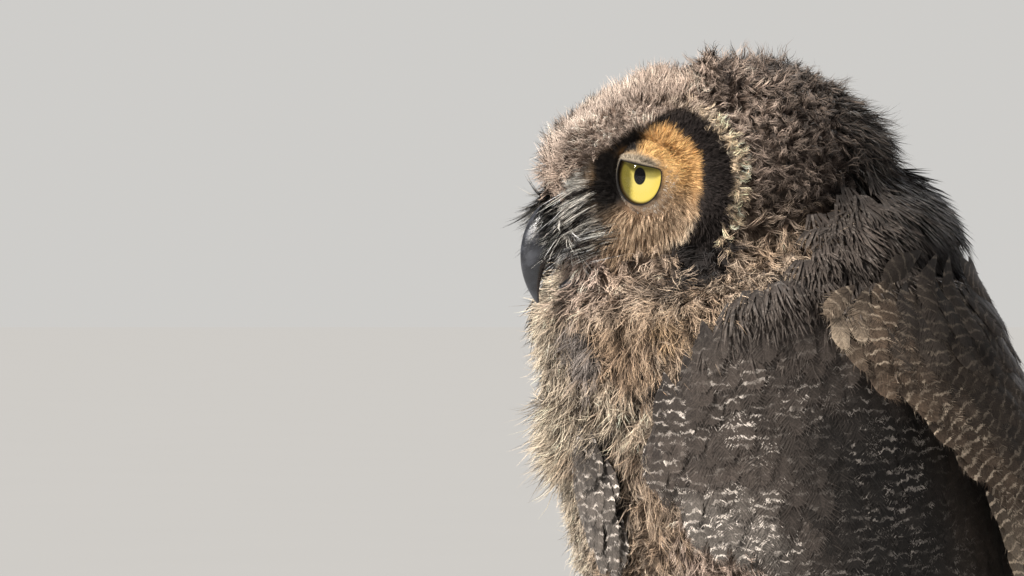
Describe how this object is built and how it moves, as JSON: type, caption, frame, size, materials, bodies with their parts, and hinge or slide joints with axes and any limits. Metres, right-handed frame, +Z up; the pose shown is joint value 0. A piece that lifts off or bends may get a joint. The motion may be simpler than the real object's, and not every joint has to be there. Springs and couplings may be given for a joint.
{
  "type": "great horned owl fledgling",
  "caption": "Still life-size model of a fledgling great horned owl, upright on both feathered feet, its woolly head turned to its right.",
  "frame": {"origin": "on the floor, under the middle of the bounding box", "axes": "+Z up; the bird faces -Y with its head turned to its right; +X is the bird's left"},
  "size_m": [0.2267, 0.258, 0.4012],
  "materials": {
    "down": "woolly grey-buff down over dark brown",
    "feather": "dark brown feathers with broken buff and whitish bars",
    "horn": "glossy black-grey horn",
    "eye": "wet, clear cornea over a yellow iris and a black pupil",
    "foot": "short buff feathering"
  },
  "bodies": {
    "root": {"head": "down", "neck": "down", "trunk": "feather", "bill_upper": "horn", "bill_lower": "horn", "eye_left": "eye", "eye_right": "eye", "ear_tuft_left": "down", "ear_tuft_right": "down", "wing_left": "feather", "wing_right": "feather", "primaries_left": "feather", "primaries_right": "feather", "tail": "feather", "thigh_left": "down", "thigh_right": "down", "shank_left": "foot", "shank_right": "foot", "toe_left_1": "foot", "toe_left_2": "foot", "toe_left_3": "foot", "toe_left_4": "foot", "toe_right_1": "foot", "toe_right_2": "foot", "toe_right_3": "foot", "toe_right_4": "foot", "claw_left_1": "horn", "claw_left_2": "horn", "claw_left_3": "horn", "claw_left_4": "horn", "claw_right_1": "horn", "claw_right_2": "horn", "claw_right_3": "horn", "claw_right_4": "horn"}
  },
  "joints": []
}
